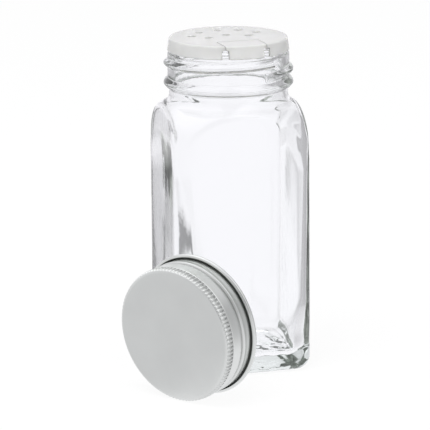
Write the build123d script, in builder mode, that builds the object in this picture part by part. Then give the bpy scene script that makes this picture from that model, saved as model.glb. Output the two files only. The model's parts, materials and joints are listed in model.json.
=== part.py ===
"""Square glass spice jar with a shaker cap on its neck and its screw cap standing beside it.

Millimetres, +Z up. The origin is the centre of the jar's flat base. The jar's faces are square
to X and Y, and its front face looks along -Y. The screw cap stands on its edge near the jar's
front left corner, open side towards the jar.
"""
import os
from math import asin, atan2, cos, hypot, pi, radians, sin, sqrt

from build123d import *

os.makedirs("parts", exist_ok=True)

# Jar body
body_width = 44.5
corner_radius = 4.8
heel_radius = 3.4
wall = 2.2
base_thickness = 5.0
inner_corner_radius = 6.0
inner_heel_radius = 2.6
shoulder_radius = 16.0
shoulder_start = 71.5
shoulder_reach = 29.7

# Neck finish
waist_radius = 19.15
neck_radius = 19.6
bore_radius = 17.4
bead_height = 92.25
bead_half_width = 1.75
thread_crest_radius = 20.9
lip_radius = 18.35
lip_step = 101.7
lip_top = 105.45
lip_round = 0.6

# Screw thread on the neck: one right-hand turn
thread_pitch = 4.2
thread_turns = 1.0
thread_start_height = 96.0
thread_start_angle = -58.0
thread_foot = 2.5
thread_land = 0.9

# Shaker cap
sifter_top = 106.8
sifter_plate = 1.3
sifter_skirt_bottom = 102.6
sifter_top_radius = 19.15
sifter_bottom_radius = 19.6
sifter_edge = 0.6
neck_clearance = 0.08
plug_wall = 1.0
plug_depth = 0.9
sifter_turn = 6.0

# Sprinkle holes, placed from the cap's centre, forward being towards the pour flap
hole_radius = 1.4
ring_hole_count = 5
ring_hole_distance = 11.7
ring_hole_pitch = 35.0
side_hole_offset = 6.8
side_hole_forward = 0.7
middle_hole_back = 2.4

# Pour flap, its hinge line across the top face
flap_half_width = 6.9
flap_hinge_forward = 8.8
flap_kerf = 0.3
slot_width = 2.2
slot_roof = 1.3

# Screw cap, measured along its own axis from the outside of its flat face
cap_face_radius = 21.72
cap_edge = 0.7
cap_sheet = 0.35
knurl_start = 0.95
knurl_end = 2.75
knurl_count = 104
knurl_depth = 0.3
groove_radius = 20.7
groove_start = 6.95
groove_end = 8.45
groove_slope = 0.45
bead_centre = 9.1
bead_end = 9.8
cap_bead_radius = 21.62
skirt_radius = 21.4
curl_radius = 0.75
curl_centre = 12.6
curl_reach = 22.86
curl_start_angle = 160.0
mouth_round = 0.6
liner_thickness = 1.0
liner_radius = 20.6
liner_gap = 0.05

# Rolled thread inside the screw cap
cap_thread_depth = 0.65
cap_thread_foot = 1.5
cap_thread_land = 0.6
cap_thread_start = 11.6
cap_thread_turns = 0.75

# How deep the foot of a thread ridge is sunk into its wall
ridge_bury = 0.25

# Where the screw cap stands: the centre of its face over the floor, and the way the face looks
cap_x = -28.8
cap_y = -46.8
cap_heading = -141.3

# Worked out from the sizes above
shoulder_centre = shoulder_reach - shoulder_radius
shoulder_end = shoulder_start + sqrt(shoulder_radius**2 - (waist_radius - shoulder_centre) ** 2)
inner_shoulder_radius = shoulder_radius - wall
inner_shoulder_end = shoulder_start + sqrt(
    inner_shoulder_radius**2 - (bore_radius - shoulder_centre) ** 2
)
plate_bottom = sifter_top - sifter_plate
skirt_inner_radius = lip_radius + neck_clearance
plug_radius = bore_radius - neck_clearance
# A reach beyond the part on every side, for cutting tools
far = 60.0


def shoulder_profile(radius, top):
    """Half section of a dome: straight up to the shoulder, then in along its arc to height top."""
    end = asin((top - shoulder_start) / radius)
    foot = (shoulder_centre + radius, shoulder_start)
    middle = (shoulder_centre + radius * cos(end / 2), shoulder_start + radius * sin(end / 2))
    head = (shoulder_centre + radius * cos(end), top)
    with BuildLine() as outline:
        Polyline((0, top), (0, 0), (far, 0), (far, shoulder_start), foot)
        ThreePointArc(foot, middle, head)
        Line(head, (0, top))
    return outline.line


def helix_ridge(foot, land, depth, radius, pitch, turns):
    """A trapezoid ridge on a right-hand helix about Z from +X. Depth is negative for inwards."""
    bury = -ridge_bury if depth > 0 else ridge_bury
    with BuildPart() as ridge:
        with BuildLine() as route:
            Helix(pitch=pitch, height=pitch * turns, radius=radius)
        with BuildSketch(Plane(origin=(radius, 0, 0), x_dir=(1, 0, 0), z_dir=(0, -1, 0))):
            with BuildLine():
                Polyline(
                    (bury, -foot / 2),
                    (0, -foot / 2),
                    (depth, -land / 2),
                    (depth, land / 2),
                    (0, foot / 2),
                    (bury, foot / 2),
                    close=True,
                )
            make_face()
        sweep(path=route.wires()[0], is_frenet=True)
    return ridge.part


# Inside of the jar: the square cavity, its round shoulder and the bore of the neck
with BuildPart() as jar_cavity:
    with BuildSketch(Plane.XY.offset(base_thickness)):
        RectangleRounded(body_width - 2 * wall, body_width - 2 * wall, inner_corner_radius)
    extrude(amount=inner_shoulder_end - base_thickness)
    fillet(jar_cavity.edges().group_by(Axis.Z)[0], inner_heel_radius)
    with BuildSketch(Plane.XZ):
        with BuildLine():
            add(shoulder_profile(inner_shoulder_radius, inner_shoulder_end))
        make_face()
    revolve(axis=Axis.Z, mode=Mode.INTERSECT)
    with BuildSketch(Plane.XY.offset(shoulder_start)):
        Circle(bore_radius)
    extrude(amount=lip_top - shoulder_start)

neck_thread = Pos(0, 0, thread_start_height) * Rot(0, 0, thread_start_angle) * helix_ridge(
    thread_foot,
    thread_land,
    thread_crest_radius - neck_radius,
    neck_radius,
    thread_pitch,
    thread_turns,
)

# Glass jar: the square body under its shoulder, then the neck with its bead and thread
with BuildPart() as glass_jar:
    with BuildSketch(Plane.XY):
        RectangleRounded(body_width, body_width, corner_radius)
    extrude(amount=shoulder_end)
    fillet(glass_jar.edges().group_by(Axis.Z)[0], heel_radius)
    with BuildSketch(Plane.XZ):
        with BuildLine():
            add(shoulder_profile(shoulder_radius, shoulder_end))
        make_face()
    revolve(axis=Axis.Z, mode=Mode.INTERSECT)
    with BuildSketch(Plane.XZ):
        with BuildLine():
            bead_foot = (waist_radius, bead_height - bead_half_width)
            bead_head = (neck_radius, bead_height + bead_half_width)
            Polyline((0, shoulder_start), (waist_radius, shoulder_start), bead_foot)
            ThreePointArc(bead_foot, (thread_crest_radius, bead_height), bead_head)
            Polyline(bead_head, (neck_radius, lip_step), (lip_radius, lip_step))
            Line((lip_radius, lip_step), (lip_radius, lip_top - lip_round))
            RadiusArc((lip_radius, lip_top - lip_round), (lip_radius - lip_round, lip_top), -lip_round)
            Polyline((lip_radius - lip_round, lip_top), (0, lip_top), (0, shoulder_start))
        make_face()
    revolve(axis=Axis.Z)
    add(neck_thread)
    add(jar_cavity.part, mode=Mode.SUBTRACT)
glass_jar.part.label = "glass_jar"
export_step(glass_jar.part, "parts/glass_jar.step")

# The shaker cap's own directions: forward runs from its centre to the pour flap
turn = radians(sifter_turn)
sifter_side = (cos(turn), sin(turn), 0)


def sifter_plane(height):
    """A level plane across the shaker cap, its -Y towards the pour flap."""
    return Plane(origin=(0, 0, height), x_dir=sifter_side, z_dir=(0, 0, 1))


def sifter_skin():
    """Half section of the shaker cap's plate and skirt, without its plug ring."""
    edge_foot = (sifter_top_radius, sifter_top - sifter_edge)
    edge_head = (sifter_top_radius - sifter_edge, sifter_top)
    with BuildLine() as outline:
        Polyline(
            (0, sifter_top),
            (0, plate_bottom),
            (skirt_inner_radius, plate_bottom),
            (skirt_inner_radius, sifter_skirt_bottom),
            (sifter_bottom_radius, sifter_skirt_bottom),
            edge_foot,
        )
        RadiusArc(edge_foot, edge_head, -sifter_edge)
        Line(edge_head, (0, sifter_top))
    return outline.line


slot_height = sifter_top - slot_roof - sifter_skirt_bottom
slot_inner = sqrt(skirt_inner_radius**2 - (flap_half_width + slot_width / 2) ** 2)

# Shaker cap: plate, skirt and plug ring, with sprinkle holes and the gap for the flap
with BuildPart() as sifter_cap:
    with BuildSketch(Plane.XZ):
        with BuildLine():
            add(sifter_skin())
        make_face()
        with Locations((plug_radius - plug_wall / 2, plate_bottom - plug_depth / 2)):
            Rectangle(plug_wall, plug_depth)
    revolve(axis=Axis.Z)
    with BuildSketch(sifter_plane(sifter_top)):
        with PolarLocations(
            ring_hole_distance,
            ring_hole_count,
            start_angle=90 - ring_hole_pitch * (ring_hole_count - 1) / 2,
            angular_range=ring_hole_pitch * (ring_hole_count - 1),
            endpoint=True,
        ):
            Circle(hole_radius)
        with Locations(
            (-side_hole_offset, -side_hole_forward),
            (side_hole_offset, -side_hole_forward),
            (0, middle_hole_back),
        ):
            Circle(hole_radius)
    extrude(amount=-sifter_plate, mode=Mode.SUBTRACT)
    with BuildSketch(sifter_plane(0)):
        gap_half_width = flap_half_width + flap_kerf / 2
        with Locations((0, -flap_hinge_forward - far / 2)):
            Rectangle(2 * gap_half_width, far)
    extrude(amount=sifter_top, mode=Mode.SUBTRACT)
    with BuildSketch(sifter_plane(sifter_skirt_bottom)):
        with Locations(
            (-flap_half_width, -slot_inner - far / 2),
            (flap_half_width, -slot_inner - far / 2),
        ):
            Rectangle(slot_width, far)
    extrude(amount=slot_height, mode=Mode.SUBTRACT)
sifter_cap.part.label = "sifter_cap"
export_step(sifter_cap.part, "parts/sifter_cap.step")

# Pour flap: the piece of plate and skirt between the two cuts
with BuildPart() as pour_flap:
    with BuildSketch(Plane.XZ):
        with BuildLine():
            add(sifter_skin())
        make_face()
    revolve(axis=Axis.Z)
    with BuildSketch(sifter_plane(0)):
        with Locations((0, -flap_hinge_forward - flap_kerf - far / 2)):
            Rectangle(2 * flap_half_width - flap_kerf, far)
    extrude(amount=sifter_top, mode=Mode.INTERSECT)
    with BuildSketch(sifter_plane(sifter_skirt_bottom)):
        with Locations(
            (-flap_half_width, -slot_inner - far / 2),
            (flap_half_width, -slot_inner - far / 2),
        ):
            Rectangle(slot_width, far)
    extrude(amount=slot_height, mode=Mode.SUBTRACT)
pour_flap.part.label = "pour_flap"
export_step(pour_flap.part, "parts/pour_flap.step")

# The screw cap rests on the round edge of its face and on its curl, so its axis tips a little
curl_ring = curl_reach - curl_radius
edge_ring = cap_face_radius - cap_edge
rise = curl_ring - edge_ring
run = curl_centre - cap_edge
tip = atan2(rise, run) + asin((curl_radius - cap_edge) / hypot(rise, run))
cap_height = cap_edge + edge_ring * cos(tip) - cap_edge * sin(tip)
heading = radians(cap_heading)
cap_axis = Vector(cos(tip) * cos(heading), cos(tip) * sin(heading), -sin(tip))
cap_across = Vector(-sin(heading), cos(heading), 0)
cap_centre = Vector(cap_x, cap_y, cap_height)


def cap_plane(depth):
    """A plane square to the cap's axis, depth behind its face, looking out of the face."""
    return Plane(origin=cap_centre - cap_axis * depth, x_dir=cap_across, z_dir=cap_axis)


# The plane of the cap's half section: X across, Y along the cap's axis
section_plane = Plane(origin=cap_centre, x_dir=cap_across, z_dir=cap_across.cross(cap_axis))
knurl_root = cap_face_radius - knurl_depth
curl_start = (
    curl_ring + curl_radius * cos(radians(curl_start_angle)),
    -curl_centre + curl_radius * sin(radians(curl_start_angle)),
)
curl_bottom = (curl_ring, -curl_centre - curl_radius)
skirt_inner = skirt_radius - cap_sheet
bead_inner = cap_bead_radius - cap_sheet
groove_inner_start = groove_start - cap_sheet / 2
groove_inner_end = groove_end + cap_sheet / 2

# Screw cap shell: one sheet from the face to the curl, with the knurled band on it
with BuildPart() as cap_shell:
    with BuildSketch(section_plane):
        with BuildLine():
            Polyline((0, -cap_sheet), (0, 0), (edge_ring, 0))
            RadiusArc((edge_ring, 0), (cap_face_radius, -cap_edge), cap_edge)
            Polyline(
                (cap_face_radius, -cap_edge),
                (cap_face_radius, -knurl_start),
                (knurl_root, -knurl_start),
                (knurl_root, -knurl_end),
                (skirt_radius, -knurl_end),
                (skirt_radius, -groove_start),
                (groove_radius, -groove_start - groove_slope),
                (groove_radius, -groove_end + groove_slope),
                (skirt_radius, -groove_end),
            )
            ThreePointArc(
                (skirt_radius, -groove_end), (cap_bead_radius, -bead_centre), (skirt_radius, -bead_end)
            )
            Polyline((skirt_radius, -bead_end), (skirt_radius, curl_start[1]), curl_start)
            ThreePointArc(curl_start, (curl_reach, -curl_centre), curl_bottom)
            Line(curl_bottom, (skirt_inner + mouth_round, curl_bottom[1]))
            RadiusArc(
                (skirt_inner + mouth_round, curl_bottom[1]),
                (skirt_inner, curl_bottom[1] + mouth_round),
                mouth_round,
            )
            Line((skirt_inner, curl_bottom[1] + mouth_round), (skirt_inner, -bead_end))
            ThreePointArc(
                (skirt_inner, -bead_end), (bead_inner, -bead_centre), (skirt_inner, -groove_inner_end)
            )
            Polyline(
                (skirt_inner, -groove_inner_end),
                (groove_radius - cap_sheet, -groove_inner_end + groove_slope),
                (groove_radius - cap_sheet, -groove_inner_start - groove_slope),
                (skirt_inner, -groove_inner_start),
                (skirt_inner, -knurl_end),
                (knurl_root - cap_sheet, -knurl_end),
                (knurl_root - cap_sheet, -cap_edge),
            )
            RadiusArc(
                (knurl_root - cap_sheet, -cap_edge),
                (knurl_root - cap_edge, -cap_sheet),
                -(cap_edge - cap_sheet),
            )
            Line((knurl_root - cap_edge, -cap_sheet), (0, -cap_sheet))
        make_face()
    revolve(axis=Axis(origin=cap_centre, direction=cap_axis))
    with BuildSketch(cap_plane(knurl_start)):
        with BuildLine():
            step = 2 * pi / knurl_count
            teeth = []
            for tooth in range(knurl_count):
                for radius, part_step in ((cap_face_radius, 0), (knurl_root, 0.5)):
                    angle = (tooth + part_step) * step
                    teeth.append((radius * cos(angle), radius * sin(angle)))
            Polyline(*teeth, close=True)
        make_face()
        Circle(knurl_root - cap_sheet / 2, mode=Mode.SUBTRACT)
    extrude(amount=-(knurl_end - knurl_start))
    add(
        cap_plane(cap_thread_start).location
        * helix_ridge(
            cap_thread_foot,
            cap_thread_land,
            -cap_thread_depth,
            skirt_inner,
            thread_pitch,
            cap_thread_turns,
        )
    )
cap_shell.part.label = "cap_shell"
export_step(cap_shell.part, "parts/cap_shell.step")

# Sealing disc inside the screw cap
with BuildPart() as cap_liner:
    with BuildSketch(cap_plane(cap_sheet + liner_gap)):
        Circle(liner_radius)
    extrude(amount=-liner_thickness)
cap_liner.part.label = "cap_liner"
export_step(cap_liner.part, "parts/cap_liner.step")

print("cap centre", cap_centre, "cap axis", cap_axis, "cap tip", tip * 180 / pi)
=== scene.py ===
"""Square glass spice jar with its shaker cap on and its screw cap standing beside it.

Sizes of the object are in millimetres and are turned into metres as its meshes are made. The
camera, the studio and the materials are in metres. The directions of the shaker cap and the place
of the screw cap come from the frame's own joints.
"""
import json
import math

import bmesh
import bpy
import numpy as np
from mathutils import Matrix, Vector, noise


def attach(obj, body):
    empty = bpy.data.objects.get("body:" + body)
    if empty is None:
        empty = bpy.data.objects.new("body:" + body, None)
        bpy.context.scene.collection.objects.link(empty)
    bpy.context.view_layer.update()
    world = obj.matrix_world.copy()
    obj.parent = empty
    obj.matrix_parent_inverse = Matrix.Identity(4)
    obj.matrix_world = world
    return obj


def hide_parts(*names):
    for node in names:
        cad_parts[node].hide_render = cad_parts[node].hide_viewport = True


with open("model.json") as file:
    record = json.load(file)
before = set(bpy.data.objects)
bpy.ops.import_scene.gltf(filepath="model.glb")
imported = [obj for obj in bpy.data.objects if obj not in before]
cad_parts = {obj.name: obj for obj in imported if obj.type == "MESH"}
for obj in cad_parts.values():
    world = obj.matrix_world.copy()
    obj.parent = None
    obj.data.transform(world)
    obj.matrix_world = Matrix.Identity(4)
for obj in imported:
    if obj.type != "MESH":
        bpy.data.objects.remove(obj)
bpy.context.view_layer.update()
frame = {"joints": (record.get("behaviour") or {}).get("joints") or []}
joints = {joint["name"]: joint for joint in frame["joints"]}

MM = 0.001
TAU = 2 * math.pi

# Jar body, shoulder and base. A push-up is the raised middle of the bottom, or of the floor
# inside. Places on these two are shares of their reach: 0 in the middle and 1 at the rim.
body_half = 22.25
corner_radius = 4.8
heel_radius = 2.2
heel_at_corner = 4.4
foot_inset_at_corner = 1.8
push_up = 0.5
push_up_end = 0.84
push_up_fade = 0.14
bottom_ring_shares = (0.06, 0.97)
floor_ring_shares = (0.95, 0.05)
flat_steps = 34
corner_steps = 26
base_thickness = 5.0
inner_heel_radius = 2.6
inner_push_up = 0.5
shoulder_radius = 16.0
shoulder_start = 71.5
shoulder_centre = 13.7
shoulder_blend = 44
waist_fillet = 3.2
neck_fillet = 6.0

# The body's wall by height, and the radius of its cavity's corners by height
wall_heights = (10.0, 40.0, 74.0)
wall_thicknesses = (2.2, 1.9, 1.45)
inner_corner_heights = (12.0, 22.0, 66.0, 79.0)
back_corner_radii = (2.9, 2.8, 3.3, 8.0)
right_corner_radii = (7.0, 3.2, 3.3, 8.0)
left_corner_radii = (8.5, 8.0, 5.0, 8.0)
sharpest_corner = 0.1

# Neck finish
waist_radius = 19.15
neck_radius = 19.6
neck_edge = 0.3
bore_radius = 17.4
bore_edge = 0.3
bead_height = 92.25
bead_half = 1.85
crest_radius = 20.88
lip_radius = 18.35
lip_step = 101.7
lip_foot = 0.1
lip_top = 105.45
lip_round = 0.6
thread_pitch = 4.2
thread_start_height = 96.0
thread_start_angle = -58.0
thread_half = 1.4
thread_fade = 16.0
thread_roundness = 1.05

# Ripples of the glass: their size, and their pattern as (scale around, scale up the jar, seed).
# Those inside are strongest at the wavy side. A shift keeps the outer ones inside the true wall.
outer_waves = 0.05
outer_wave_pattern = (1.6, 0.03, 5.0)
outer_wave_shift = 0.02
inner_wave_heights = (base_thickness, 20.0, 60.0, 85.0, lip_top)
inner_waves = (0.05, 0.2, 0.2, 0.1, 0.08)
inner_wave_pattern = (1.7, 0.055, 1.0)
inner_wave_least = 0.3
wavy_side = math.radians(200)
left_streaks = 0.009
left_streak_pattern = (20.0, 0.1, 7.0)
neck_specks = 0.012
neck_speck_pattern = (16.0, 0.7, 3.0)

# The thicker patch of the left wall, by height and by the distance along that wall
left_swell = 0.40
left_swell_heights = (48.0, 58.0, 68.0, 76.0)
left_swell_places = (-17.0, -1.0, 1.0, 16.5)
left_swell_levels = (0.0, 0.9, 1.0, 0.0)
left_face_cosine = -0.7

# Mottle near the base: its size, and its pattern as (scale, seed). It fades towards the back, from
# its level at the middle.
bottom_mottle = 0.25
bottom_pattern = (0.3, 9.0)
heel_dents = 0.5
heel_dent_pattern = (0.55, 2.0)
heel_dent_shift = 0.05
inner_mottle = 0.5
inner_pattern = (0.33, 4.0)
mottle_at_middle = 0.3
mottle_fade = 12.0

# Shaker cap. Its draft is how far its skirt leans out, in degrees.
sifter_top = 106.8
sifter_plate = 1.3
sifter_bottom = 102.6
sifter_top_radius = 19.15
sifter_bottom_radius = 19.6
sifter_edge = 0.6
sifter_draft = 4
sifter_chamfer = 0.12
sifter_inner = 18.43
plug_radius = 17.32
plug_wall = 1.0
plug_depth = 0.9
plug_chamfer = 0.15
plate_rings = (3.0, 9.0, 15.0)
under_plate_rings = (12.0, 3.0)
hole_radius = 1.4
outer_hole_distance = 11.7
outer_hole_step = math.radians(35.0)
inner_holes = [(-6.8, -0.7), (6.8, -0.7), (0.0, 2.4)]
flap_half = 6.9
flap_kerf = 0.3
flap_forward = 8.8
slot_width = 2.2
slot_roof = 1.3
moulded_edge = 0.14
moulded_edge_angle = math.radians(40)
crease_angle = math.radians(32)

# Ends of the cuts through the shaker cap, well outside it
cut_front = -30.0
cut_low = 90.0
cut_high = 120.0
peg_low = sifter_top - 4
peg_high = sifter_top + 2
slot_low = sifter_bottom - 1

# Screw cap, along its own axis from its face. The room keeps its inside clear of the ribs.
cap_radius = 21.72
cap_edge = 1.4
cap_sheet = 0.35
knurl_count = 104
knurl_points = 8
knurl_start = 0.3
knurl_end = 2.75
knurl_depth = 0.45
knurl_fade_in = 0.4
knurl_fade_out = 0.08
knurl_roundness = 0.8
knurl_room = 0.33
knurl_foot = 0.1
skirt_radius = 21.4
groove_radius = 20.7
groove_start = 7.3
groove_end = 8.3
groove_lip = 0.12
groove_bend = 0.3
groove_gap = 0.1
cap_bead_radius = 21.62
curl_radius = 0.75
curl_centre = 12.6
curl_ring = 22.11
curl_foot_angle = 215
curl_end_angle = 98
mouth_round = 0.6
cap_thread_depth = 0.65
cap_thread_half = 0.8
cap_thread_start = 11.6
cap_thread_turns = 0.75
cap_thread_fade = 0.15

# Rings of points on the cap's plain parts: distances on its face and depths on its sides
face_rings = (2.0, 10.0, 18.0)
knurl_rings = np.linspace(cap_edge + 0.15, knurl_end - knurl_foot, 8)
upper_skirt_rings = (3.6, 4.6, 5.6, 6.6, groove_start - groove_gap)
lower_skirt_rings = (10.4, 11.2, 12.0, 12.9)
inner_skirt_ring = 5.0

# Bends of the cap's sheet: points as offsets (outwards, away from the face)
foot_bend = ((-0.22, 0.15), (-0.2, 0.25), (0.0, 0.42))
bead_bend = ((-0.12, 0.05), (-0.02, 0.2), (0.0, 0.4), (-0.05, 0.7))
bead_end_bend = ((0.08, 1.05), (0.0, 1.5))

# Foam liner
liner_radius = 20.6
liner_top = 0.4
liner_thickness = 1.0
liner_top_edge = 0.2
liner_low_edge = 0.35
liner_dish = 0.04
liner_rings = (2.0, 12.0, 18.5)

# The renderer follows this many reflections inside the glass and leaves the deeper ones black.
# The glass paints a dim glow on those instead, a painted light by noise: (noise, level).
reflections_followed = 4
deep_glow_levels = ((0.30, 0.025), (0.46, 0.05), (0.54, 0.105), (0.62, 0.24), (0.7, 0.45))
deep_glow_colour = (0.95, 1.0, 0.94, 1)
# Painted shade on the aluminium: how bright it is by how open the place is, darker deep in
# crevices: (openness, level)
crevice_shade_stops = ((0.15, 0.02), (0.4, 0.15), (0.65, 0.5), (0.88, 1.0))

# Camera. Its direction is turned from -Y, and its aim and its roll from there.
view_turn = math.radians(12.68)
camera_distance = 1.04169
camera_height = 0.2945
camera_pitch = math.radians(13.32)
camera_aside = math.radians(-0.26)
camera_roll = math.radians(-0.52)
frame_pixels = 430
focal_pixels = 3294.36
sensor_width = 36.0

# How bright the studio is for glass and metal: (degrees round from +Y towards +X, level)
surroundings = (
    (-180, 0.87),
    (-150, 0.85),
    (-135, 0.72),
    (-95, 0.72),
    (-80, 0.85),
    (-30, 0.86),
    (-12, 0.9),
    (-6, 1.0),
    (36, 1.0),
    (46, 0.47),
    (70, 0.5),
    (110, 0.58),
    (150, 0.95),
    (180, 0.87),
)
studio_tint = (1.0, 0.985, 1.025)
# The studio by height: (rise of the direction, from 0 at the nadir to 1 at the zenith, level)
overhead = ((0.0, 1.0), (0.55, 1.0), (0.72, 0.8), (0.85, 1.5), (1.0, 1.7))
# The dark end of the room, above the floor: (degrees round from +Y towards +X, share of the level)
dark_end = ((-180, 0.3), (-155, 0.3), (-140, 1.0), (160, 1.0), (172, 0.3), (180, 0.3))

# Patches of the floor that are darker than the rest: (degrees, share) stops and two soft edges,
# from one distance to another from the jar's axis. The card to the left behind the jar shows in
# its left face, and the sheets farther off show at the sides of the neck, both only in what the
# glass reflects. The small corner card shows straight through the jar's front left corner.
card_stops = (
    (-43, 1.0),
    (-40, 0.1),
    (-29, 0.1),
    (-26, 0.3),
    (-15.5, 0.3),
    (-14, 0.15),
    (-11, 0.15),
    (-9, 0.85),
    (-6, 1.0),
)
card_near = (0.07, 0.10)
card_far = (0.28, 0.33)
sheet_stops = (
    (-60, 1.0),
    (-50, 0.6),
    (-2, 0.62),
    (8, 1.0),
    (18, 1.0),
    (26, 0.62),
    (50, 0.8),
    (60, 1.0),
)
sheet_near = (0.355, 0.385)
sheet_far = (0.60, 0.70)
corner_stops = ((-18, 1.0), (-15.5, 0.5), (-14, 0.35), (-11, 0.35), (-9, 0.85), (-7, 1.0))
corner_near = (0.07, 0.10)
corner_far = (0.17, 0.20)
# Under the jar the floor is plain white, up to a soft edge
under_jar = (0.03, 0.06)
floor_reach = 2.4
floor_drop = 0.0001
# How much of the floor's look to the camera is plain white. The rest keeps the object's shadow.
floor_white = 0.92
lamp_aim = Vector((0, 0, 0.05))


def ridge(u, power=1.0):
    """A rounded ridge: 1 at u = 0 and 0 from u = 1 outwards."""
    return np.clip(1 - np.square(u), 0, 1) ** power


def between(value, marks, levels):
    """The level at a value, from levels at the given marks."""
    return float(np.interp(value, marks, levels))


def angles(on_flat, on_corner):
    """Directions round a square jar, closer together at its rounded corners."""
    corner_from = math.atan2(body_half - corner_radius, body_half)
    corner_to = math.pi / 2 - corner_from
    marks = []
    for quarter in range(4):
        turn = quarter * math.pi / 2
        marks += list(turn + np.linspace(0, corner_from, on_flat, endpoint=False))
        marks += list(turn + np.linspace(corner_from, corner_to, on_corner, endpoint=False))
        marks += list(turn + np.linspace(corner_to, math.pi / 2, on_flat, endpoint=False))
    return np.array(marks)


def square_reach(theta, half, radius):
    """Distance from the axis to a rounded square, in each direction theta."""
    c, s = np.abs(np.cos(theta)), np.abs(np.sin(theta))
    straight = half / np.maximum(c, s)
    core = half - radius
    on_corner = (straight * c > core) & (straight * s > core)
    along = core * (c + s)
    round_part = along + np.sqrt(np.maximum(along**2 - 2 * core**2 + radius**2, 0))
    return np.where(on_corner, round_part, straight)


def smaller(square, distance):
    """The smaller of a square's reaches and one distance, blended where they are close."""
    circle = np.full_like(square, distance)
    return (square**-shoulder_blend + circle**-shoulder_blend) ** (-1 / shoulder_blend)


def arc(cx, cz, radius, start, end, steps):
    """Points of an arc, angles in degrees."""
    marks = np.radians(np.linspace(start, end, steps))
    return [(cx + radius * math.cos(a), cz + radius * math.sin(a)) for a in marks]


def ring(theta, reach, height):
    """One ring of points at distance reach from the axis. reach and height may vary with theta."""
    height = np.broadcast_to(height, theta.shape)
    return np.stack([reach * np.cos(theta), reach * np.sin(theta), height], axis=1)


def lathe(profile, steps, wave=None):
    """Rings of a skin of revolution. profile is (distance, height) points; wave changes a ring."""
    theta = np.linspace(0, TAU, steps, endpoint=False)
    rows = []
    for reach, height in profile:
        around = np.full(steps, float(reach))
        if wave:
            around = wave(theta, around, height)
        rows.append(ring(theta, around, height))
    return rows


def new_object(name, data):
    """A new object in the scene, at the origin."""
    made = bpy.data.objects.new(name, data)
    bpy.context.scene.collection.objects.link(made)
    return made


def ring_mesh(name, rows):
    """A closed skin through rings of points in millimetres, with one more point at each end."""
    count = len(rows[0])
    ends = np.array([rows[0].mean(axis=0), rows[-1].mean(axis=0)])
    points = np.concatenate(rows + [ends]) * MM
    faces = []
    for i in range(len(rows) - 1):
        low, high = i * count, (i + 1) * count
        for j in range(count):
            k = (j + 1) % count
            faces.append((low + j, low + k, high + k, high + j))
    first, final = len(points) - 2, len(points) - 1
    top = (len(rows) - 1) * count
    for j in range(count):
        k = (j + 1) % count
        faces.append((first, k, j))
        faces.append((final, top + j, top + k))
    mesh = bpy.data.meshes.new(name)
    mesh.from_pydata([tuple(p) for p in points], [], faces)
    mesh.update()
    mesh.polygons.foreach_set("use_smooth", [True] * len(mesh.polygons))
    return new_object(name, mesh)


def place(piece, origin, x_dir, z_dir):
    """Moves a mesh made about Z to its place in the frame, leaving the object at the origin."""
    z = Vector(z_dir).normalized()
    x = Vector(x_dir)
    x = (x - z * x.dot(z)).normalized()
    y = z.cross(x)
    turn = Matrix((x, y, z)).transposed().to_4x4()
    piece.data.transform(Matrix.Translation(origin) @ turn)


def shoulder_path(dome, line, radius, steps):
    """(distance, height) points up the shoulder's arc and round its fillet, which ends at line."""
    centre_r = line + radius
    centre_z = shoulder_start + math.sqrt((dome + radius) ** 2 - (centre_r - shoulder_centre) ** 2)
    end = math.atan2(centre_z - shoulder_start, centre_r - shoulder_centre)
    path = []
    for a in np.linspace(0, end, steps):
        path.append((shoulder_centre + dome * math.cos(a), shoulder_start + dome * math.sin(a)))
    for a in np.linspace(math.pi + end, math.pi, steps // 3)[1:]:
        path.append((centre_r + radius * math.cos(a), centre_z + radius * math.sin(a)))
    return path


def thread_reach(theta, height):
    """How far the neck's thread stands out in each direction, at one height."""
    out = np.zeros_like(theta)
    start = math.radians(thread_start_angle)
    for lap in (-1, 0, 1):
        along = np.degrees((theta - start) % TAU) + 360 * lap
        middle = thread_start_height + thread_pitch * along / 360
        ends = np.clip((along + thread_fade / 2) / thread_fade, 0, 1)
        ends = ends * np.clip((360 + thread_fade / 2 - along) / thread_fade, 0, 1)
        ends = np.sin(ends * math.pi / 2)
        out = np.maximum(out, ends * ridge((height - middle) / thread_half, thread_roundness))
    return out * (crest_radius - neck_radius)


def ripple(theta, height, size, pattern):
    """Slow unevenness of pressed glass, in millimetres. pattern is (scale around, up, seed)."""
    around, up, seed = pattern
    out = np.empty(len(theta))
    for i, t in enumerate(theta):
        spot = Vector((math.cos(t) * around, math.sin(t) * around, height * up + seed))
        out[i] = noise.noise(spot)
    return out * size


def mottle(row, size, pattern):
    """Finer unevenness where the glass met the mould, in millimetres, for each point of a ring."""
    scale, seed = pattern
    shift = Vector((seed, 0, 0))
    waves = np.array([noise.noise(Vector(point) * scale + shift) for point in row])
    return waves * size * np.clip(mottle_at_middle - row[:, 1] / mottle_fade, 0, 1)


def wall_at(height):
    """The body's wall, thin at the shoulder and thicker towards the base."""
    return between(height, wall_heights, wall_thicknesses)


def cavity_reach(theta, height, inset=0.0):
    """The inside of the square body. Its front corners hold more glass than the back ones."""
    half = body_half - wall_at(height) - inset
    front = np.sin(theta) < 0
    right = np.cos(theta) >= 0
    reach = np.zeros_like(theta)
    for part, radii in (
        (~front, back_corner_radii),
        (front & right, right_corner_radii),
        (front & ~right, left_corner_radii),
    ):
        radius = between(height, inner_corner_heights, radii) - inset
        reach = np.where(part, square_reach(theta, half, max(radius, sharpest_corner)), reach)
    return reach


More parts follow.
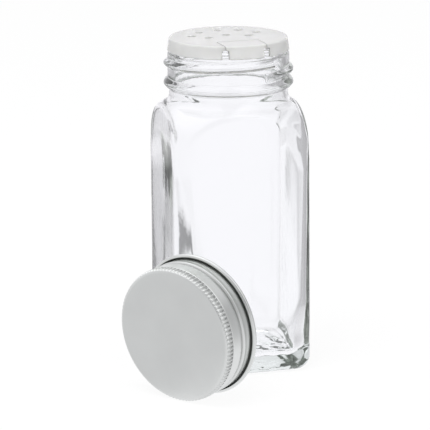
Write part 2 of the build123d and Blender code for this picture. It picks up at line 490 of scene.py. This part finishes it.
def uneven(theta, height):
    """The waviness of the jar's inside, weak in the neck and at the back and strong on the left."""
    size = between(height, inner_wave_heights, inner_waves)
    left = (0.5 + 0.5 * np.cos(theta - wavy_side)) ** 2
    waves = ripple(theta, height, size, inner_wave_pattern)
    waves = waves * (inner_wave_least + (1 - inner_wave_least) * left)
    streaks = ripple(theta, height, left_streaks, left_streak_pattern) * left**4
    along = (body_half - wall_at(height)) * np.tan(theta)
    swell = np.interp(-along, left_swell_places, left_swell_levels)
    swell = swell * (np.cos(theta) < left_face_cosine)
    tall = between(height, left_swell_heights, (0, 1, 1, 0))
    return waves + streaks - left_swell * tall * swell


def jar_base(theta):
    """Rings of the jar's bottom and heel, from the middle outwards and up."""
    base_half, base_corner = body_half - heel_radius, corner_radius - heel_radius
    at_corner = np.sin(2 * theta) ** 4
    heel = heel_radius + (heel_at_corner - heel_radius) * at_corner
    foot = square_reach(theta, base_half, base_corner) - foot_inset_at_corner * at_corner
    rows = []
    for part in np.linspace(*bottom_ring_shares, 24):
        share = np.clip((push_up_end - part) / push_up_fade, 0, 1)
        row = ring(theta, foot * part, push_up * share)
        row[:, 2] += share * (0.5 * bottom_mottle + mottle(row, bottom_mottle, bottom_pattern))
        rows.append(row)
    for a in np.linspace(0, math.pi / 2, 12):
        out = heel_radius * math.sin(a)
        reach = square_reach(theta, base_half + out, base_corner + out)
        reach = reach - foot_inset_at_corner * at_corner * (1 - math.sin(a))
        row = ring(theta, reach, heel * (1 - math.cos(a)))
        dents = np.minimum(mottle(row, heel_dents, heel_dent_pattern) - heel_dent_shift, 0)
        row[:, :2] *= (1 + dents * math.sin(2 * a) / reach)[:, None]
        rows.append(row)
    return rows


def jar_outside(theta):
    """Rings of the body, shoulder, transfer bead, thread and lip, from the heel up."""
    rows = []
    body = square_reach(theta, body_half, corner_radius)
    for height in np.linspace(heel_at_corner, shoulder_start, 30)[1:-1]:
        waves = ripple(theta, height, outer_waves, outer_wave_pattern)
        rows.append(ring(theta, body + np.minimum(waves - outer_wave_shift, 0), height))
    shoulder = shoulder_path(shoulder_radius, waist_radius, waist_fillet, 34)
    for reach, height in shoulder:
        rows.append(ring(theta, smaller(body, reach), height))
    bead_foot = bead_height - bead_half
    bead_head = bead_height + bead_half
    for height in np.linspace(shoulder[-1][1], bead_foot, 5)[1:-1]:
        rows.append(ring(theta, waist_radius, height))
    for height in np.linspace(bead_foot, bead_head, 21):
        plain = between(height, (bead_foot, bead_head), (waist_radius, neck_radius))
        crest = (crest_radius - plain) * ridge((height - bead_height) / bead_half)
        rows.append(ring(theta, plain + crest, height))
    for height in np.linspace(bead_head, lip_step - neck_edge, 44)[1:]:
        rows.append(ring(theta, neck_radius + thread_reach(theta, height), height))
    lip = arc(neck_radius - neck_edge, lip_step - neck_edge, neck_edge, 0, 90, 5)[1:]
    lip += [(lip_radius + lip_foot, lip_step), (lip_radius, lip_step + lip_foot)]
    lip += arc(lip_radius - lip_round, lip_top - lip_round, lip_round, 0, 90, 7)
    lip += arc(bore_radius + bore_edge, lip_top - bore_edge, bore_edge, 90, 180, 6)
    return rows + [ring(theta, reach, height) for reach, height in lip]


def jar_inside(theta):
    """Rings of the bore, the cavity and its floor, from the lip down."""
    rows = []
    inner = shoulder_path(shoulder_radius - wall_at(shoulder_start), bore_radius, neck_fillet, 26)
    for height in np.linspace(lip_top - bore_edge, inner[-1][1], 34)[1:-1]:
        specks = ripple(theta, height, neck_specks, neck_speck_pattern)
        rows.append(ring(theta, bore_radius + uneven(theta, height) + specks, height))
    for reach, height in reversed(inner):
        shape = smaller(cavity_reach(theta, height), reach)
        rows.append(ring(theta, shape + uneven(theta, height), height))
    low = base_thickness + inner_heel_radius
    for height in np.linspace(shoulder_start, low, 40)[1:]:
        rows.append(ring(theta, cavity_reach(theta, height) + uneven(theta, height), height))
    for a in np.linspace(0, math.pi / 2, 12)[1:]:
        reach = cavity_reach(theta, low, inner_heel_radius * (1 - math.cos(a)))
        height = low - inner_heel_radius * math.sin(a)
        row = ring(theta, reach + uneven(theta, height), height)
        row[:, 2] += mottle(row, inner_mottle * math.sin(a), inner_pattern)
        rows.append(row)
    floor = cavity_reach(theta, low, inner_heel_radius)
    for part in np.linspace(*floor_ring_shares, 18):
        row = ring(theta, floor * part, base_thickness + inner_push_up * (1 - part**2))
        row[:, 2] += mottle(row, inner_mottle, inner_pattern)
        rows.append(row)
    return rows


def make_jar():
    """The glass jar as one closed skin: outside from the base up, over the lip and down inside."""
    theta = angles(flat_steps, corner_steps)
    return ring_mesh("jar_glass", jar_base(theta) + jar_outside(theta) + jar_inside(theta))


def knurl(theta, around, height):
    """Presses the fine upright ribs into the cap's top band."""
    depth = -height
    fade = min((depth - knurl_start) / knurl_fade_in, (knurl_end - depth) / knurl_fade_out)
    wave = 0.5 - 0.5 * np.cos(theta * knurl_count)
    return around - knurl_depth * np.clip(fade, 0, 1) * wave**knurl_roundness


def cap_thread(theta, around, height):
    """The rolled thread inside the screw cap, part of a right-hand turn."""
    middle = -cap_thread_start + thread_pitch * theta / TAU
    length = cap_thread_turns * TAU
    ends = np.clip(np.minimum(theta, length - theta) / cap_thread_fade, 0, 1)
    return around - cap_thread_depth * np.sqrt(ends) * ridge((height - middle) / cap_thread_half)


def bend(radius, depth, offsets):
    """Points of a bend in the cap's sheet, as offsets from a radius and a depth."""
    return [(radius + out, -depth - down) for out, down in offsets]


def cap_outside():
    """The shell's outer profile: face, knurled band, groove, bead, skirt and open curl."""
    profile = [(reach, 0.0) for reach in face_rings]
    profile += arc(cap_radius - cap_edge, -cap_edge, cap_edge, 90, 0, 14)
    profile += [(cap_radius, -d) for d in knurl_rings]
    profile += [(cap_radius - knurl_foot, -knurl_end)]
    profile += bend(skirt_radius, knurl_end, foot_bend)
    profile += [(skirt_radius, -d) for d in upper_skirt_rings]
    profile += [(skirt_radius - groove_lip, -groove_start)]
    profile += [(groove_radius, -groove_start - groove_bend)]
    profile += [(groove_radius, -groove_end + (groove_bend + groove_gap))]
    profile += [(groove_radius + groove_bend, -groove_end + groove_gap)]
    profile += bend(cap_bead_radius, groove_end, bead_bend)
    profile += bend(skirt_radius, groove_end, bead_end_bend)
    profile += [(skirt_radius, -d) for d in lower_skirt_rings]
    inner_curl = curl_radius - cap_sheet
    profile += arc(curl_ring, -curl_centre, inner_curl, curl_foot_angle, curl_end_angle + 360, 18)
    profile += arc(curl_ring, -curl_centre, curl_radius, curl_end_angle, -90, 22)
    return profile


def cap_inside():
    """The shell's inner profile, from the curl back up to the face."""
    inner = skirt_radius - cap_sheet
    inner_groove = groove_radius - cap_sheet
    mouth = -curl_centre - curl_radius + mouth_round
    profile = arc(inner + mouth_round, mouth, mouth_round, -90, -180, 7)
    profile += [(inner, -d) for d in np.linspace(curl_centre, groove_end + groove_gap, 36)]
    profile += [(inner_groove, -groove_end + groove_bend)]
    profile += [(inner_groove, -groove_start - groove_bend)]
    profile += [(inner, -groove_start + groove_gap)]
    profile += [(inner, -inner_skirt_ring), (inner, -knurl_end)]
    inner_edge = cap_edge - cap_sheet - knurl_room
    profile += arc(cap_radius - cap_edge, -cap_edge, inner_edge, 0, 90, 6)
    profile += [(reach, -cap_sheet) for reach in reversed(face_rings)]
    return profile


def make_cap():
    """The aluminium cap's shell as one closed skin."""
    steps = knurl_count * knurl_points
    rows = lathe(cap_outside(), steps, knurl) + lathe(cap_inside(), steps, cap_thread)
    return ring_mesh("cap_metal", rows)


def boolean(piece, cutter, operation="DIFFERENCE"):
    """Applies one exact boolean to piece and deletes the cutter."""
    step = piece.modifiers.new("cut", "BOOLEAN")
    step.operation = operation
    step.solver = "EXACT"
    step.object = cutter
    depsgraph = bpy.context.evaluated_depsgraph_get()
    made = bpy.data.meshes.new_from_object(piece.evaluated_get(depsgraph))
    piece.modifiers.clear()
    piece.data = made
    bpy.data.objects.remove(cutter)


def cutter_object(name, bm):
    """Turns what a bmesh holds into an object, and frees the bmesh."""
    mesh = bpy.data.meshes.new(name)
    bm.to_mesh(mesh)
    bm.free()
    return new_object(name, mesh)


def cutter_boxes(name, boxes):
    """One object of boxes, each (x low, x high, y low, y high, z low, z high) in millimetres."""
    bm = bmesh.new()
    for x0, x1, y0, y1, z0, z1 in boxes:
        grown = bmesh.ops.create_cube(bm, size=1.0)
        scale = Matrix.Diagonal(((x1 - x0) * MM, (y1 - y0) * MM, (z1 - z0) * MM, 1))
        middle = Vector(((x0 + x1) / 2, (y0 + y1) / 2, (z0 + z1) / 2)) * MM
        bmesh.ops.transform(bm, matrix=Matrix.Translation(middle) @ scale, verts=grown["verts"])
    return cutter_object(name, bm)


def cutter_pegs(name, places, radius, low, high):
    """One object of upright pegs through the given (x, y) places, in millimetres."""
    bm = bmesh.new()
    for x, y in places:
        bmesh.ops.create_cone(
            bm,
            cap_ends=True,
            segments=40,
            radius1=radius * MM,
            radius2=radius * MM,
            depth=(high - low) * MM,
            matrix=Matrix.Translation(Vector((x, y, (low + high) / 2)) * MM),
        )
    return cutter_object(name, bm)


def hole_places():
    """Sprinkle holes of the shaker cap, its pour flap towards -Y."""
    places = []
    for k in range(-2, 3):
        a = math.pi / 2 + outer_hole_step * k
        places.append((outer_hole_distance * math.cos(a), outer_hole_distance * math.sin(a)))
    return places + inner_holes


def slot_boxes():
    """The two upright slots through the shaker cap's skirt, beside the flap."""
    inner = math.sqrt(sifter_inner**2 - (flap_half + slot_width / 2) ** 2)
    high = sifter_top - slot_roof
    half = slot_width / 2
    return [
        (side * flap_half - half, side * flap_half + half, cut_front, -inner, slot_low, high)
        for side in (-1, 1)
    ]


def sifter_skin(with_plug):
    """Rings of the shaker cap's plate and skirt about Z, as a closed skin."""
    plate = sifter_top - sifter_plate
    corner = sifter_top_radius - sifter_edge
    profile = [(reach, sifter_top) for reach in plate_rings]
    profile += arc(corner, sifter_top - sifter_edge, sifter_edge, 90, sifter_draft, 7)
    profile += [(sifter_bottom_radius, sifter_bottom + sifter_chamfer)]
    profile += [(sifter_bottom_radius - sifter_chamfer, sifter_bottom)]
    profile += [(sifter_inner + sifter_chamfer, sifter_bottom)]
    profile += [(sifter_inner, sifter_bottom + sifter_chamfer), (sifter_inner, plate)]
    if with_plug:
        low = plate - plug_depth
        profile += [(plug_radius, plate), (plug_radius, low + plug_chamfer)]
        profile += [(plug_radius - plug_chamfer, low), (plug_radius - plug_wall, low)]
        profile += [(plug_radius - plug_wall, plate)]
    profile += [(reach, plate) for reach in under_plate_rings]
    return lathe(profile, 256)


def finish_moulding(piece):
    """Smooth faces with sharp creases, and small rounded edges, as a plastic moulding has."""
    mesh = piece.data
    mesh.polygons.foreach_set("use_smooth", [True] * len(mesh.polygons))
    mesh.set_sharp_from_angle(angle=crease_angle)
    soften = piece.modifiers.new("edges", "BEVEL")
    soften.width = moulded_edge * MM
    soften.segments = 3
    soften.limit_method = "ANGLE"
    soften.angle_limit = moulded_edge_angle
    soften.use_clamp_overlap = True
    even = piece.modifiers.new("shading", "WEIGHTED_NORMAL")
    even.keep_sharp = True


def make_sifter():
    """The shaker cap with its holes, slots and the gap for the flap."""
    piece = ring_mesh("sifter_plastic", sifter_skin(True))
    boolean(piece, cutter_pegs("pegs", hole_places(), hole_radius, peg_low, peg_high))
    half = flap_half + flap_kerf / 2
    gap = (-half, half, cut_front, -flap_forward, cut_low, cut_high)
    boolean(piece, cutter_boxes("gap", [gap]))
    boolean(piece, cutter_boxes("slots", slot_boxes()))
    finish_moulding(piece)
    return piece


def make_flap():
    """The pour flap: the piece of plate and skirt between the two cuts."""
    piece = ring_mesh("flap_plastic", sifter_skin(False))
    half = flap_half - flap_kerf / 2
    keep = (-half, half, cut_front, -flap_forward - flap_kerf, cut_low, cut_high)
    boolean(piece, cutter_boxes("keep", [keep]), "INTERSECT")
    boolean(piece, cutter_boxes("slots", slot_boxes()))
    finish_moulding(piece)
    return piece


def make_liner():
    """The foam disc inside the cap, its free face a little dished."""
    top, low = -liner_top, -liner_top - liner_thickness
    dished = low + liner_dish
    middle, outer, rim = liner_rings
    profile = [(middle, top), (outer, top)]
    profile += arc(liner_radius - liner_top_edge, top - liner_top_edge, liner_top_edge, 90, 0, 4)
    profile += arc(liner_radius - liner_low_edge, low + liner_low_edge, liner_low_edge, 0, -90, 6)
    profile += [(rim, low + liner_dish / 2), (outer, dished), (middle, dished)]
    return ring_mesh("liner_foam", lathe(profile, 160))


def set_inputs(tree, node, inputs):
    """Sets a node's inputs. A value is a number, a colour, or the socket that feeds the input."""
    for name, value in inputs.items():
        if isinstance(value, bpy.types.NodeSocket):
            tree.links.new(value, node.inputs[name])
        else:
            node.inputs[name].default_value = value
    return node


def add_node(tree, kind, inputs):
    """A new node with its inputs set."""
    return set_inputs(tree, tree.nodes.new(kind), inputs)


def calculate(tree, operation, first, second):
    """The result of a Math node."""
    node = tree.nodes.new("ShaderNodeMath")
    node.operation = operation
    return set_inputs(tree, node, {0: first, 1: second}).outputs[0]


def map_range(tree, value, marks, ends=(0.0, 1.0)):
    """A value that goes from one end to the other as another goes from one mark to the other."""
    inputs = {"Value": value, "From Min": marks[0], "From Max": marks[1]}
    inputs.update({"To Min": ends[0], "To Max": ends[1]})
    return add_node(tree, "ShaderNodeMapRange", inputs).outputs["Result"]


def noise_level(tree, spot, inputs):
    """The level of a noise texture."""
    return add_node(tree, "ShaderNodeTexNoise", {"Vector": spot, **inputs}).outputs["Fac"]


def relief(tree, height, strength, distance):
    """A normal that follows a height."""
    inputs = {"Height": height, "Strength": strength, "Distance": distance}
    return add_node(tree, "ShaderNodeBump", inputs).outputs["Normal"]


def colour_ramp(tree, value, stops):
    """A colour that follows a value, through (position, colour) stops."""
    node = add_node(tree, "ShaderNodeValToRGB", {"Fac": value})
    elements = node.color_ramp.elements
    elements[0].position = stops[0][0]
    elements[1].position = stops[-1][0]
    for position, _ in stops[1:-1]:
        elements.new(position)
    for element, (_, colour) in zip(elements, stops):
        element.color = (*colour, 1)
    return node.outputs["Color"]


def level_ramp(tree, value, stops, tint=(1, 1, 1)):
    """A level, times a tint, that follows a value through (position, level) stops."""
    tinted = [(position, [level * part for part in tint]) for position, level in stops]
    return colour_ramp(tree, value, tinted)


def mix_colours(tree, blend, share, first, second):
    """Two colours mixed by one of the blends of the Mix node."""
    node = tree.nodes.new("ShaderNodeMix")
    node.data_type = "RGBA"
    node.blend_type = blend
    return set_inputs(tree, node, {"Factor": share, "A": first, "B": second}).outputs["Result"]


def mix_shaders(tree, share, first, second):
    """The first shader where share is 0 and the second where it is 1."""
    inputs = {"Fac": share, 1: first, 2: second}
    return add_node(tree, "ShaderNodeMixShader", inputs).outputs["Shader"]


def ray_switch(tree, names):
    """A value that is 1 for the named kinds of ray and 0 for the others."""
    path = tree.nodes.new("ShaderNodeLightPath")
    level = path.outputs[names[0]]
    for name in names[1:]:
        level = calculate(tree, "MAXIMUM", level, path.outputs[name])
    return level


def glossy_depth(tree):
    """How many reflections the light has made on its way to the camera."""
    return tree.nodes.new("ShaderNodeLightPath").outputs["Glossy Depth"]


def material(name):
    """A new node material: (material, its tree, its shader, a place on the surface)."""
    made = bpy.data.materials.new(name)
    made.use_nodes = True
    tree = made.node_tree
    spot = tree.nodes.new("ShaderNodeTexCoord").outputs["Object"]
    return made, tree, tree.nodes["Principled BSDF"], spot


def glass_material():
    """Clear soda-lime glass, faintly green where it is thick, with a slight cast unevenness, and a
    painted dim glow where the light has reflected more often than is followed.
    """
    made, tree, shader, spot = material("clear_glass")
    # Painted light: a dim glow by noise where the light has reflected more often than the renderer
    # follows.
    depth = glossy_depth(tree)
    deep = calculate(tree, "GREATER_THAN", depth, reflections_followed - 0.5)
    glow_noise = noise_level(tree, spot, {"Scale": 90.0, "Detail": 4.0})
    deep_glow = level_ramp(tree, glow_noise, deep_glow_levels)
    grain = noise_level(tree, spot, {"Scale": 160.0, "Detail": 3.0, "Roughness": 0.6})
    looks = {
        "Base Color": (0.985, 0.992, 0.99, 1),
        "Roughness": 0.0,
        "IOR": 1.45,
        "Transmission Weight": 1.0,
        "Normal": relief(tree, grain, strength=0.05, distance=0.0004),
        "Emission Color": deep_glow_colour,
        "Emission Strength": calculate(tree, "MULTIPLY", deep, deep_glow),
    }
    set_inputs(tree, shader, looks)
    tint = {"Color": (0.35, 0.52, 0.42, 1), "Density": 6.0}
    body = add_node(tree, "ShaderNodeVolumeAbsorption", tint)
    set_inputs(tree, tree.nodes["Material Output"], {"Volume": body.outputs["Volume"]})
    return made


def plastic_material():
    """Translucent natural polyethylene: milky, soft, with a faint mottle."""
    made, tree, shader, spot = material("milky_plastic")
    cloud = noise_level(tree, spot, {"Scale": 220.0, "Detail": 3.0})
    fine = noise_level(tree, spot, {"Scale": 2600.0})
    tones = ((0.3, (0.80, 0.803, 0.772)), (0.7, (0.85, 0.853, 0.828)))
    looks = {
        "Base Color": colour_ramp(tree, cloud, tones),
        "Roughness": 0.24,
        "IOR": 1.5,
        "Transmission Weight": 0.45,
        "Subsurface Weight": 0.5,
        "Subsurface Radius": (0.004, 0.004, 0.0035),
        "Subsurface Scale": 1.0,
        "Normal": relief(tree, fine, strength=0.12, distance=0.0001),
    }
    set_inputs(tree, shader, looks)
    return made


def aluminium_material():
    """Satin rolled aluminium with a very fine grain, and painted shade that darkens it deep in its
    crevices.
    """
    made, tree, shader, spot = material("satin_aluminium")
    grain = noise_level(tree, spot, {"Scale": 3200.0, "Detail": 2.0})
    cloud = noise_level(tree, spot, {"Scale": 90.0})
    tones = ((0.25, (0.785, 0.811, 0.78)), (0.75, (0.825, 0.852, 0.82)))
    metal = colour_ramp(tree, cloud, tones)
    # Painted shade: ambient occlusion darkens the base colour in the crevices.
    hidden = add_node(tree, "ShaderNodeAmbientOcclusion", {"Distance": 0.0009})
    hidden.only_local = True
    hidden.samples = 8
    crevice_shade = level_ramp(tree, hidden.outputs["AO"], crevice_shade_stops)
    looks = {
        "Base Color": mix_colours(tree, "MULTIPLY", 1.0, metal, crevice_shade),
        "Metallic": 1.0,
        "Roughness": map_range(tree, grain, (0.0, 1.0), (0.30, 0.38)),
        "Normal": relief(tree, grain, strength=0.1, distance=0.00005),
    }
    set_inputs(tree, shader, looks)
    return made


def foam_material():
    """Matt white foam with fine open cells."""
    made, tree, shader, spot = material("white_foam")
    cells = add_node(tree, "ShaderNodeTexVoronoi", {"Vector": spot, "Scale": 1400.0})
    depth = cells.outputs["Distance"]
    tones = ((0.0, (0.90, 0.90, 0.88)), (1.0, (0.80, 0.80, 0.78)))
    looks = {
        "Base Color": colour_ramp(tree, depth, tones),
        "Roughness": 0.85,
        "Normal": relief(tree, depth, strength=0.4, distance=0.0002),
    }
    set_inputs(tree, shader, looks)
    return made


def add_piece(piece, body, node, made):
    """Gives a piece its material and its body, and hides the CAD node that it stands for."""
    piece.data.materials.clear()
    piece.data.materials.append(made)
    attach(piece, body)
    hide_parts(node)


def direction(tree, vector):
    """A vector's direction round from +Y towards +X, as 0 to 1 from -180 degrees, and its Z."""
    parts = add_node(tree, "ShaderNodeSeparateXYZ", {0: vector})
    turn = calculate(tree, "ARCTAN2", parts.outputs["X"], parts.outputs["Y"])
    return map_range(tree, turn, (-math.pi, math.pi)), parts.outputs["Z"]


def turn_stops(stops):
    """Stops by degrees as the positions that a direction gives."""
    return [((angle + 180) / 360, level) for angle, level in stops]


def distance_share(tree, spot, edges, ends=(0.0, 1.0)):
    """A value that goes from one end to the other between two distances from the jar's axis."""
    length = tree.nodes.new("ShaderNodeVectorMath")
    length.operation = "LENGTH"
    set_inputs(tree, length, {0: spot})
    return map_range(tree, length.outputs["Value"], edges, ends)


def patch_shade(tree, spot, turned, marks, near, far):
    """1 on the plain floor, and the share of its marks on a darker patch between near and far."""
    shade = level_ramp(tree, turned, [(0.0, 1.0)] + turn_stops(marks) + [(1.0, 1.0)])
    shade = calculate(tree, "MAXIMUM", shade, distance_share(tree, spot, far))
    return calculate(tree, "MAXIMUM", shade, distance_share(tree, spot, near, (1.0, 0.0)))


def floor_studio(tree):
    """What glass and metal see on the floor: the studio's level there and its darker patches."""
    spot = tree.nodes.new("ShaderNodeNewGeometry").outputs["Position"]
    turned = direction(tree, spot)[0]
    level = level_ramp(tree, turned, turn_stops(surroundings), studio_tint)
    away = distance_share(tree, spot, under_jar)
    card = patch_shade(tree, spot, turned, card_stops, card_near, card_far)
    sheets = patch_shade(tree, spot, turned, sheet_stops, sheet_near, sheet_far)
    corner = patch_shade(tree, spot, turned, corner_stops, corner_near, corner_far)
    straight = calculate(tree, "LESS_THAN", glossy_depth(tree), 0.5)
    patches = {"Factor": straight, "A": calculate(tree, "MULTIPLY", card, sheets), "B": corner}
    looks = {
        "Color": mix_colours(tree, "MIX", away, (*studio_tint, 1), level),
        "Strength": add_node(tree, "ShaderNodeMix", patches).outputs["Result"],
    }
    return add_node(tree, "ShaderNodeEmission", looks).outputs["Emission"]


def make_floor():
    """A white sheet that the object stands on."""
    mesh = bpy.data.meshes.new("floor")
    signs = ((-1, -1), (1, -1), (1, 1), (-1, 1))
    corners = [(x * floor_reach, y * floor_reach, -floor_drop) for x, y in signs]
    mesh.from_pydata(corners, [], [(0, 1, 2, 3)])
    floor = new_object("floor", mesh)
    made = bpy.data.materials.new("white_floor")
    made.use_nodes = True
    tree = made.node_tree
    tree.nodes.remove(tree.nodes["Principled BSDF"])
    paper = {"Color": (0.9, 0.9, 0.9, 1)}
    matt = add_node(tree, "ShaderNodeBsdfDiffuse", paper).outputs["BSDF"]
    white = tree.nodes.new("ShaderNodeEmission").outputs["Emission"]
    shadowed = mix_shaders(tree, floor_white, matt, white)
    seen = mix_shaders(tree, ray_switch(tree, ["Is Camera Ray"]), matt, shadowed)
    through = ray_switch(tree, ["Is Glossy Ray", "Is Transmission Ray"])
    looks = {"Surface": mix_shaders(tree, through, seen, floor_studio(tree))}
    set_inputs(tree, tree.nodes["Material Output"], looks)
    floor.data.materials.append(made)


def make_world():
    """White to the camera, an even light for matt surfaces, and a studio for glass and metal."""
    world = bpy.data.worlds.new("studio")
    bpy.context.scene.world = world
    world.use_nodes = True
    tree = world.node_tree
    white = set_inputs(tree, tree.nodes["Background"], {"Color": (1, 1, 1, 1)})
    even = add_node(tree, "ShaderNodeBackground", {"Color": (0.70, 0.70, 0.71, 1)})
    where = tree.nodes.new("ShaderNodeTexCoord").outputs["Generated"]
    turned, rise = direction(tree, where)
    above = level_ramp(tree, map_range(tree, rise, (-1.0, 1.0)), overhead)
    room = level_ramp(tree, turned, turn_stops(dark_end))
    looks = {
        "Color": level_ramp(tree, turned, turn_stops(surroundings), studio_tint),
        "Strength": calculate(tree, "MULTIPLY", above, room),
    }
    studio = add_node(tree, "ShaderNodeBackground", looks).outputs["Background"]
    shown = ray_switch(tree, ["Is Glossy Ray", "Is Transmission Ray"])
    light = mix_shaders(tree, shown, even.outputs["Background"], studio)
    camera_ray = ray_switch(tree, ["Is Camera Ray"])
    surface = mix_shaders(tree, camera_ray, light, white.outputs["Background"])
    set_inputs(tree, tree.nodes["World Output"], {"Surface": surface})


def add_light(name, azimuth, elevation, distance, size, energy):
    """A soft square lamp that looks at the object. Azimuth 0 is behind the camera."""
    data = bpy.data.lights.new(name, "AREA")
    data.shape = "SQUARE"
    data.size = size
    data.energy = energy
    lamp = new_object(name, data)
    a = math.radians(azimuth) - view_turn
    e = math.radians(elevation)
    back = Vector((math.sin(a) * math.cos(e), -math.cos(a) * math.cos(e), math.sin(e)))
    lamp.location = back * distance + lamp_aim
    lamp.rotation_euler = back.to_track_quat("Z", "Y").to_euler()
    lamp.visible_glossy = False
    lamp.visible_transmission = False


def make_camera():
    """The camera at the photo's place, with the photo's framing."""
    data = bpy.data.cameras.new("camera")
    data.sensor_width = sensor_width
    data.lens = sensor_width * focal_pixels / frame_pixels
    data.clip_start = 0.05
    data.clip_end = 20.0
    camera = new_object("camera", data)
    camera.location = (
        -camera_distance * math.sin(view_turn),
        -camera_distance * math.cos(view_turn),
        camera_height,
    )
    turned = Matrix.Rotation(-view_turn - camera_aside, 4, "Z")
    turned = turned @ Matrix.Rotation(math.pi / 2 - camera_pitch, 4, "X")
    turned = turned @ Matrix.Rotation(camera_roll, 4, "Z")
    camera.rotation_euler = turned.to_euler()
    bpy.context.scene.camera = camera


glass = glass_material()
plastic = plastic_material()
aluminium = aluminium_material()
foam = foam_material()

jar = make_jar()
add_piece(jar, "jar", "glass_jar", glass)

hinge = Vector(joints["flap_open"]["axis"])
for piece, body, node in (
    (make_sifter(), "sifter", "sifter_cap"),
    (make_flap(), "flap", "pour_flap"),
):
    place(piece, Vector((0, 0, 0)), -hinge, (0, 0, 1))
    add_piece(piece, body, node, plastic)

cap_axis = Vector(joints["cap_turn"]["axis"])
cap_centre = Vector(joints["cap_turn"]["pos_m"])
cap_across = Vector((0, 0, 1)).cross(cap_axis)
cap = make_cap()
place(cap, cap_centre, cap_across, cap_axis)
add_piece(cap, "cap", "cap_shell", aluminium)
liner = make_liner()
place(liner, cap_centre, cap_across, cap_axis)
add_piece(liner, "liner", "cap_liner", foam)

make_camera()
make_floor()
make_world()
add_light("key", azimuth=-35, elevation=60, distance=1.1, size=0.8, energy=9.0)
add_light("fill", azimuth=60, elevation=35, distance=1.2, size=0.7, energy=4.0)

settings = bpy.context.scene.view_settings
settings.view_transform = "Standard"

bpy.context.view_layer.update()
